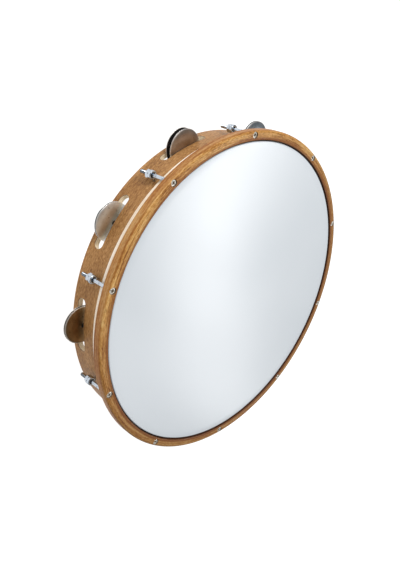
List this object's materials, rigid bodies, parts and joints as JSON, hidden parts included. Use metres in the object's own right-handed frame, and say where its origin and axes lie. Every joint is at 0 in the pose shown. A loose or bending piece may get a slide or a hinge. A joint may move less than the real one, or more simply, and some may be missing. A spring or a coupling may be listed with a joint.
{
  "type": "tambourine",
  "caption": "Hand-held frame drum: a wooden shell with a screw-tensioned white head and pairs of metal jingles in slots round its wall.",
  "frame": {"origin": "centre of the shell's rear edge, on the plane that it rests on when it lies with its head up", "axes": "+Z along the drum axis from the open rear to the head; +X through a tension screw"},
  "size_m": [0.32, 0.3296, 0.052],
  "materials": {
    "shell_wood": "clear gloss varnish on reddish-tan wood",
    "hoop_wood": "clear gloss varnish on golden-brown bent wood",
    "drum_film": "opaque white film, smooth gloss",
    "cream_hoop": "cream, satin",
    "zinc_steel": "bright zinc plate",
    "jingle_tin": "polished tin plate with fine turning marks",
    "pin_steel": "plain wire steel"
  },
  "bodies": {
    "frame": {"shell": "shell_wood", "head_film": "drum_film", "flesh_hoop": "cream_hoop", "counterhoop": "hoop_wood", "tension_screws": "zinc_steel", "eye_bolts": "zinc_steel", "eye_bolt_washers": "zinc_steel", "eye_bolt_nuts": "zinc_steel", "jingle_pins": "pin_steel"},
    "tension_nut_1": {"tension_nut_1": "zinc_steel"},
    "tension_nut_2": {"tension_nut_2": "zinc_steel"},
    "tension_nut_3": {"tension_nut_3": "zinc_steel"},
    "tension_nut_4": {"tension_nut_4": "zinc_steel"},
    "tension_nut_5": {"tension_nut_5": "zinc_steel"},
    "tension_nut_6": {"tension_nut_6": "zinc_steel"},
    "tension_nut_7": {"tension_nut_7": "zinc_steel"},
    "tension_nut_8": {"tension_nut_8": "zinc_steel"},
    "tension_nut_9": {"tension_nut_9": "zinc_steel"},
    "tension_nut_10": {"tension_nut_10": "zinc_steel"},
    "front_jingle_1": {"front_jingle_1": "jingle_tin"},
    "rear_jingle_1": {"rear_jingle_1": "jingle_tin"},
    "front_jingle_2": {"front_jingle_2": "jingle_tin"},
    "rear_jingle_2": {"rear_jingle_2": "jingle_tin"},
    "front_jingle_3": {"front_jingle_3": "jingle_tin"},
    "rear_jingle_3": {"rear_jingle_3": "jingle_tin"},
    "front_jingle_4": {"front_jingle_4": "jingle_tin"},
    "rear_jingle_4": {"rear_jingle_4": "jingle_tin"},
    "front_jingle_5": {"front_jingle_5": "jingle_tin"},
    "rear_jingle_5": {"rear_jingle_5": "jingle_tin"},
    "front_jingle_6": {"front_jingle_6": "jingle_tin"},
    "rear_jingle_6": {"rear_jingle_6": "jingle_tin"},
    "front_jingle_7": {"front_jingle_7": "jingle_tin"},
    "rear_jingle_7": {"rear_jingle_7": "jingle_tin"},
    "front_jingle_8": {"front_jingle_8": "jingle_tin"},
    "rear_jingle_8": {"rear_jingle_8": "jingle_tin"},
    "front_jingle_9": {"front_jingle_9": "jingle_tin"},
    "rear_jingle_9": {"rear_jingle_9": "jingle_tin"}
  },
  "joints": [
    {"name": "tension_nut_1_turn", "type": "hinge", "parent": "frame", "child": "tension_nut_1", "pos_m": [0.156, 0, 0.0223], "axis": [0, 0, 1], "continuous": true},
    {"name": "tension_nut_2_turn", "type": "hinge", "parent": "frame", "child": "tension_nut_2", "pos_m": [0.12621, 0.09169, 0.0223], "axis": [0, 0, 1], "continuous": true},
    {"name": "tension_nut_3_turn", "type": "hinge", "parent": "frame", "child": "tension_nut_3", "pos_m": [0.04821, 0.14836, 0.0223], "axis": [0, 0, 1], "continuous": true},
    {"name": "tension_nut_4_turn", "type": "hinge", "parent": "frame", "child": "tension_nut_4", "pos_m": [-0.04821, 0.14836, 0.0223], "axis": [0, 0, 1], "continuous": true},
    {"name": "tension_nut_5_turn", "type": "hinge", "parent": "frame", "child": "tension_nut_5", "pos_m": [-0.12621, 0.09169, 0.0223], "axis": [0, 0, 1], "continuous": true},
    {"name": "tension_nut_6_turn", "type": "hinge", "parent": "frame", "child": "tension_nut_6", "pos_m": [-0.156, 0, 0.0223], "axis": [0, 0, 1], "continuous": true},
    {"name": "tension_nut_7_turn", "type": "hinge", "parent": "frame", "child": "tension_nut_7", "pos_m": [-0.12621, -0.09169, 0.0223], "axis": [0, 0, 1], "continuous": true},
    {"name": "tension_nut_8_turn", "type": "hinge", "parent": "frame", "child": "tension_nut_8", "pos_m": [-0.04821, -0.14836, 0.0223], "axis": [0, 0, 1], "continuous": true},
    {"name": "tension_nut_9_turn", "type": "hinge", "parent": "frame", "child": "tension_nut_9", "pos_m": [0.04821, -0.14836, 0.0223], "axis": [0, 0, 1], "continuous": true},
    {"name": "tension_nut_10_turn", "type": "hinge", "parent": "frame", "child": "tension_nut_10", "pos_m": [0.12621, -0.09169, 0.0223], "axis": [0, 0, 1], "continuous": true},
    {"name": "front_jingle_1_slide", "type": "slide", "parent": "frame", "child": "front_jingle_1", "axis": [0, 0, 1], "range_m": [-0.000363, 0.000162]},
    {"name": "rear_jingle_1_slide", "type": "slide", "parent": "frame", "child": "rear_jingle_1", "axis": [0, 0, 1], "range_m": [-0.00345, 0.00036]},
    {"name": "front_jingle_2_slide", "type": "slide", "parent": "frame", "child": "front_jingle_2", "axis": [0, 0, 1], "range_m": [-0.00036, 0.00345]},
    {"name": "rear_jingle_2_slide", "type": "slide", "parent": "frame", "child": "rear_jingle_2", "axis": [0, 0, 1], "range_m": [-0.000162, 0.000363]},
    {"name": "front_jingle_3_slide", "type": "slide", "parent": "frame", "child": "front_jingle_3", "axis": [0, 0, 1], "range_m": [-0.00121, 0.00016]},
    {"name": "rear_jingle_3_slide", "type": "slide", "parent": "frame", "child": "rear_jingle_3", "axis": [0, 0, 1], "range_m": [-0.00176, 0.00121]},
    {"name": "front_jingle_4_slide", "type": "slide", "parent": "frame", "child": "front_jingle_4", "axis": [0, 0, 1], "range_m": [-0.00144, 0.00129]},
    {"name": "rear_jingle_4_slide", "type": "slide", "parent": "frame", "child": "rear_jingle_4", "axis": [0, 0, 1], "range_m": [-0.00016, 0.00144]},
    {"name": "front_jingle_5_slide", "type": "slide", "parent": "frame", "child": "front_jingle_5", "axis": [0, 0, 1], "range_m": [-0.00201, 0.00016]},
    {"name": "rear_jingle_5_slide", "type": "slide", "parent": "frame", "child": "rear_jingle_5", "axis": [0, 0, 1], "range_m": [-0.00016, 0.00201]},
    {"name": "front_jingle_6_slide", "type": "slide", "parent": "frame", "child": "front_jingle_6", "axis": [0, 0, 1], "range_m": [-0.000363, 0.000162]},
    {"name": "rear_jingle_6_slide", "type": "slide", "parent": "frame", "child": "rear_jingle_6", "axis": [0, 0, 1], "range_m": [-0.00345, 0.00036]},
    {"name": "front_jingle_7_slide", "type": "slide", "parent": "frame", "child": "front_jingle_7", "axis": [0, 0, 1], "range_m": [-0.00201, 0.00016]},
    {"name": "rear_jingle_7_slide", "type": "slide", "parent": "frame", "child": "rear_jingle_7", "axis": [0, 0, 1], "range_m": [-0.00016, 0.00201]},
    {"name": "front_jingle_8_slide", "type": "slide", "parent": "frame", "child": "front_jingle_8", "axis": [0, 0, 1], "range_m": [-0.00032, 0.00185]},
    {"name": "rear_jingle_8_slide", "type": "slide", "parent": "frame", "child": "rear_jingle_8", "axis": [0, 0, 1], "range_m": [-0.00185, 0.00032]},
    {"name": "front_jingle_9_slide", "type": "slide", "parent": "frame", "child": "front_jingle_9", "axis": [0, 0, 1], "range_m": [-0.00036, 0.00345]},
    {"name": "rear_jingle_9_slide", "type": "slide", "parent": "frame", "child": "rear_jingle_9", "axis": [0, 0, 1], "range_m": [-0.000162, 0.000363]}
  ]
}
